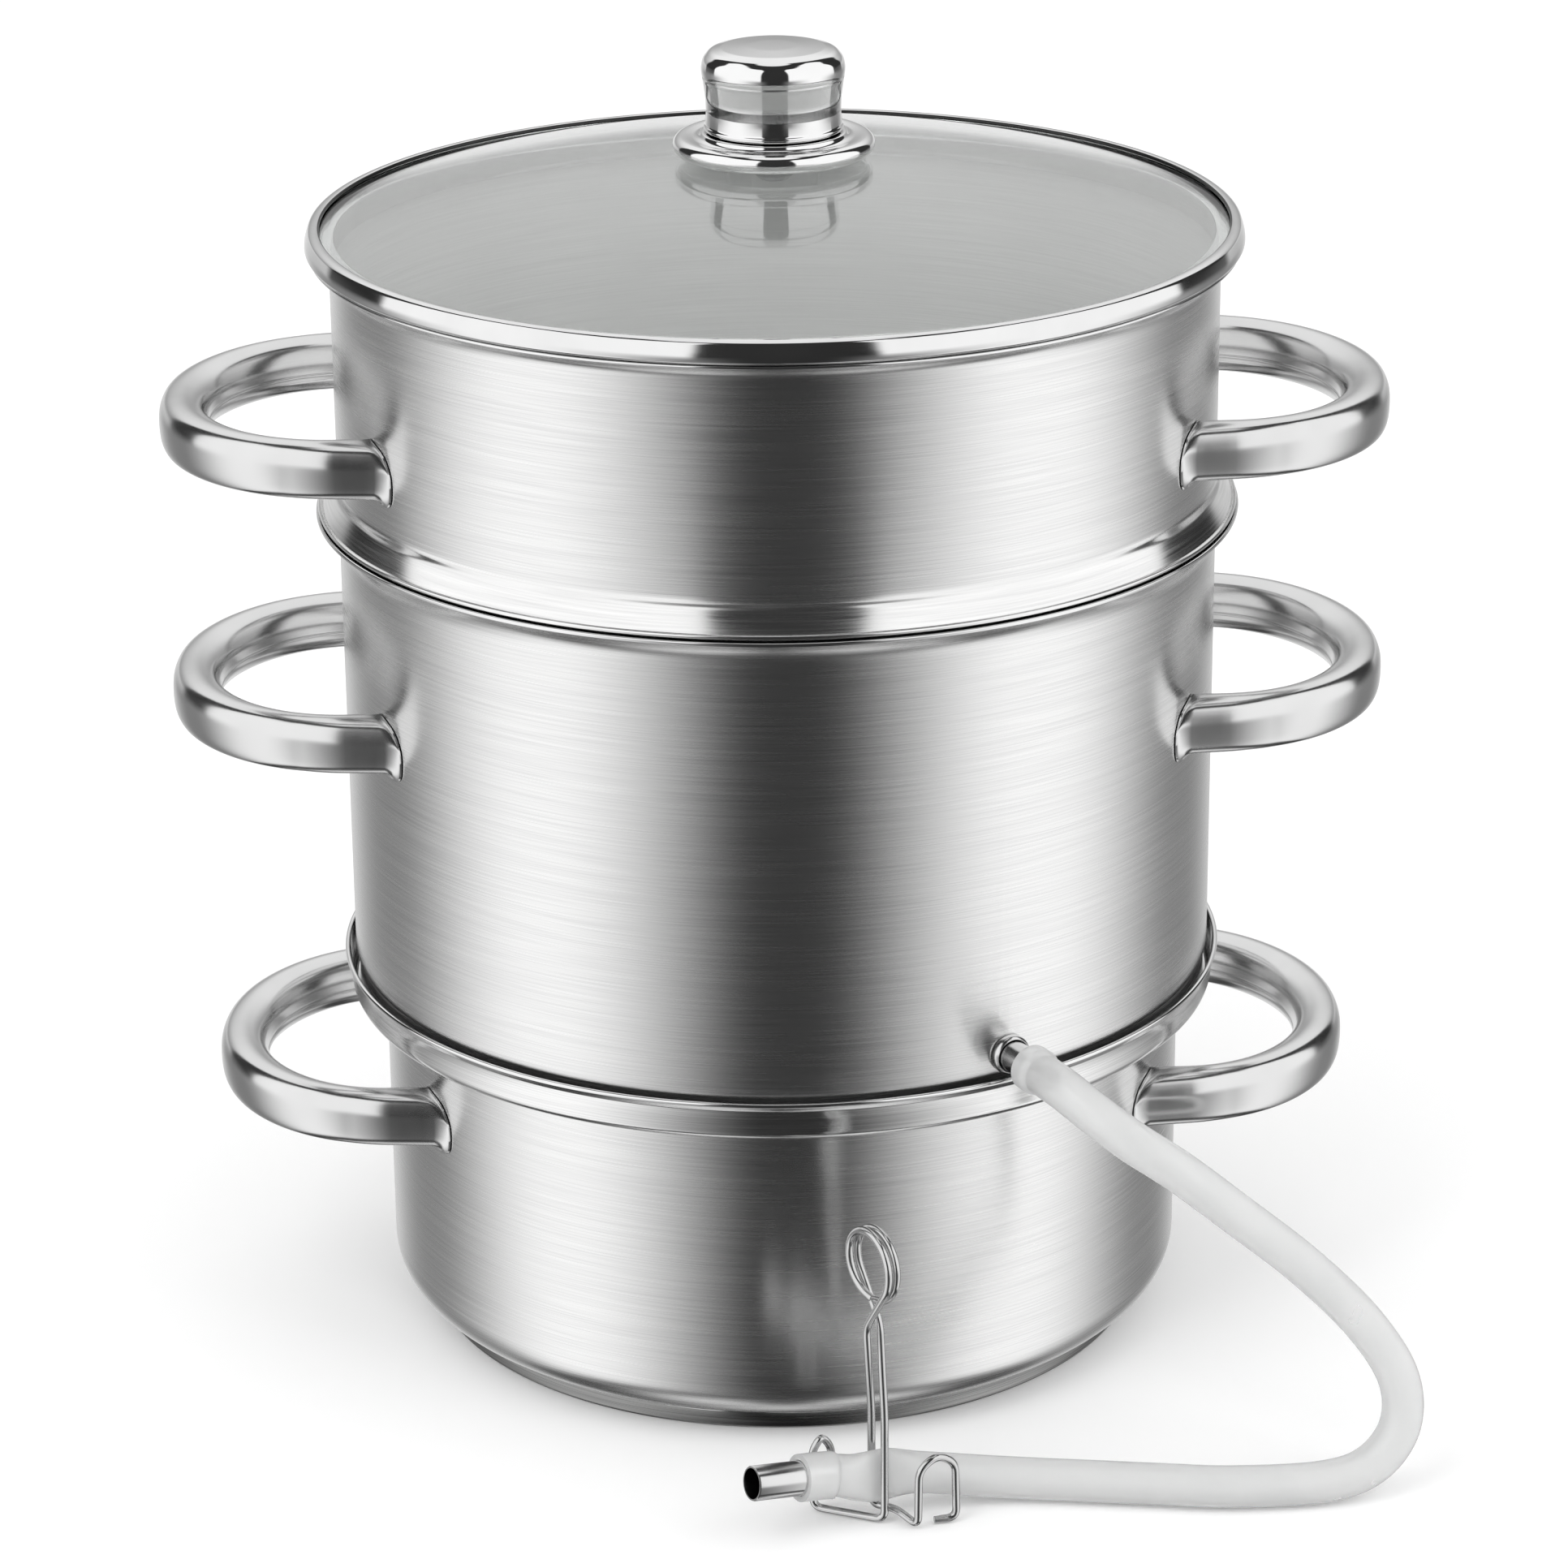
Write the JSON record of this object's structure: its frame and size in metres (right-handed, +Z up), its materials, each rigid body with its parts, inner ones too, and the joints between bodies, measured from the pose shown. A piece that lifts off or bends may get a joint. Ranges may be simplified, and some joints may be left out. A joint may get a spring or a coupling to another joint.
{
  "type": "steam juicer",
  "caption": "Steel steam juicer: water pan, juice kettle with steam chimney and fruit basket stacked under a domed glass lid, with an outlet hose, filling nozzle and wire pinch clamp",
  "frame": {"origin": "centre of the base's underside, on the pots' common axis", "axes": "+Z up along the pots' axis; the pairs of handles lie along X; the outlet is on the -Y side, turned 27.3 degrees towards +X"},
  "size_m": [0.363, 0.3217, 0.3896],
  "materials": {
    "brushed_steel": "brushed stainless steel",
    "polished_steel": "polished stainless steel",
    "base_steel": "darker brushed magnetic steel",
    "aluminium": "plain",
    "glass": "clear",
    "silicone": "milky translucent silicone"
  },
  "bodies": {
    "water_pan": {"water_pan": "brushed_steel", "base_core": "aluminium", "base_cap": "base_steel", "pan_handle_left": "polished_steel", "pan_handle_right": "polished_steel"},
    "juice_kettle": {"juice_kettle": "brushed_steel", "steam_chimney": "brushed_steel", "outlet_pipe": "polished_steel", "outlet_ferrule": "polished_steel", "kettle_handle_left": "polished_steel", "kettle_handle_right": "polished_steel"},
    "fruit_basket": {"fruit_basket": "brushed_steel", "basket_handle_left": "polished_steel", "basket_handle_right": "polished_steel"},
    "lid": {"lid_glass": "glass", "lid_band": "polished_steel", "knob_cup": "polished_steel", "knob_skirt": "polished_steel", "knob_seal": "silicone", "knob_washer": "silicone", "knob_screw": "polished_steel"},
    "hose": {"hose": "silicone"},
    "nozzle": {"filling_nozzle": "polished_steel"},
    "clamp_front": {"clamp_front_leg": "polished_steel"},
    "clamp_back": {"clamp_back_leg": "polished_steel"}
  },
  "joints": [
    {"name": "kettle_lift", "type": "slide", "parent": "water_pan", "child": "juice_kettle", "axis": [0, 0, 1], "range_m": [0, 0.05]},
    {"name": "basket_lift", "type": "slide", "parent": "juice_kettle", "child": "fruit_basket", "axis": [0, 0, 1], "range_m": [0, 0.09]},
    {"name": "lid_lift", "type": "slide", "parent": "fruit_basket", "child": "lid", "axis": [0, 0, 1], "range_m": [0, 0.06]},
    {"name": "hose_pull", "type": "slide", "parent": "juice_kettle", "child": "hose", "axis": [0.4587, -0.8886, 0], "range_m": [0, 0.012]},
    {"name": "nozzle_pull", "type": "slide", "parent": "hose", "child": "nozzle", "axis": [-0.8811, -0.4455, 0.1586], "range_m": [0, 0.015]},
    {"name": "clamp_front_swing", "type": "hinge", "parent": "hose", "child": "clamp_front", "pos_m": [0.0175, -0.165, 0.08], "axis": [-0.848, -0.5299, 0], "range_deg": [0, 2.4]},
    {"name": "clamp_back_swing", "type": "hinge", "parent": "hose", "child": "clamp_back", "pos_m": [0.0175, -0.165, 0.08], "axis": [-0.848, -0.5299, 0], "range_deg": [-2.4, 0]}
  ],
  "couplings": [
    {"joint": "clamp_back_swing", "follows": "clamp_front_swing", "ratio": -1}
  ]
}
